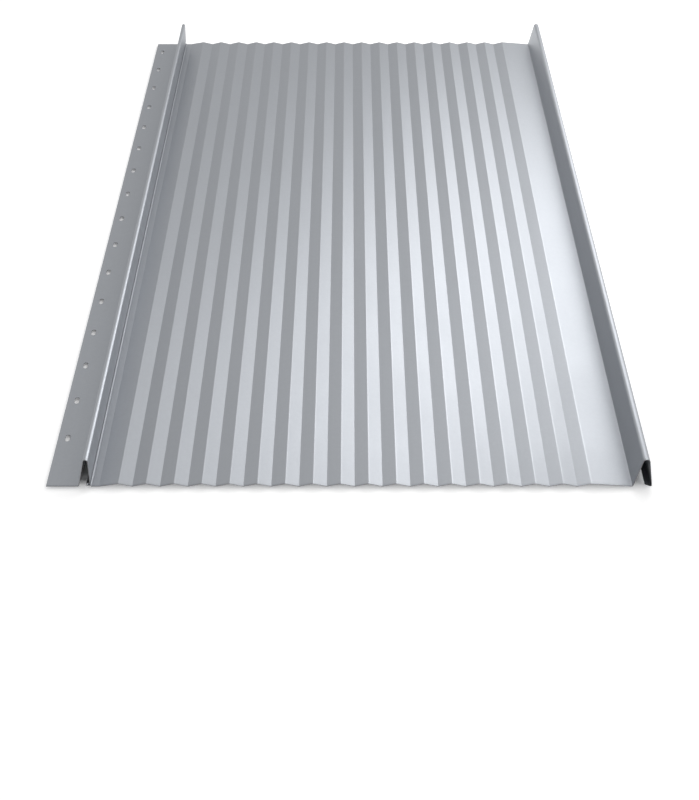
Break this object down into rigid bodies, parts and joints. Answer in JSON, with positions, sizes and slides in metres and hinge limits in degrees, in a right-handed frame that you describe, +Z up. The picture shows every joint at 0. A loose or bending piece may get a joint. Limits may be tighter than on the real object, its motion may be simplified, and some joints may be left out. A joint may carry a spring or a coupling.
{
  "type": "roof panel",
  "caption": "Long thin steel roof panel with a slotted fixing flange, a hollow locking rib, a wide pan with shallow sharp waves, and an open seam that snaps over the next panel's rib.",
  "frame": {"origin": "middle of the panel's outline, at the level of the deck or floor that it lies on", "axes": "+X across the panel from the fixing flange to the open seam, +Y along the panel, +Z up out of its weather face"},
  "size_m": [0.5466, 1, 0.0308],
  "materials": {
    "galvanised_sheet": "satin"
  },
  "bodies": {
    "root": {"roof_panel": "galvanised_sheet"}
  },
  "joints": []
}
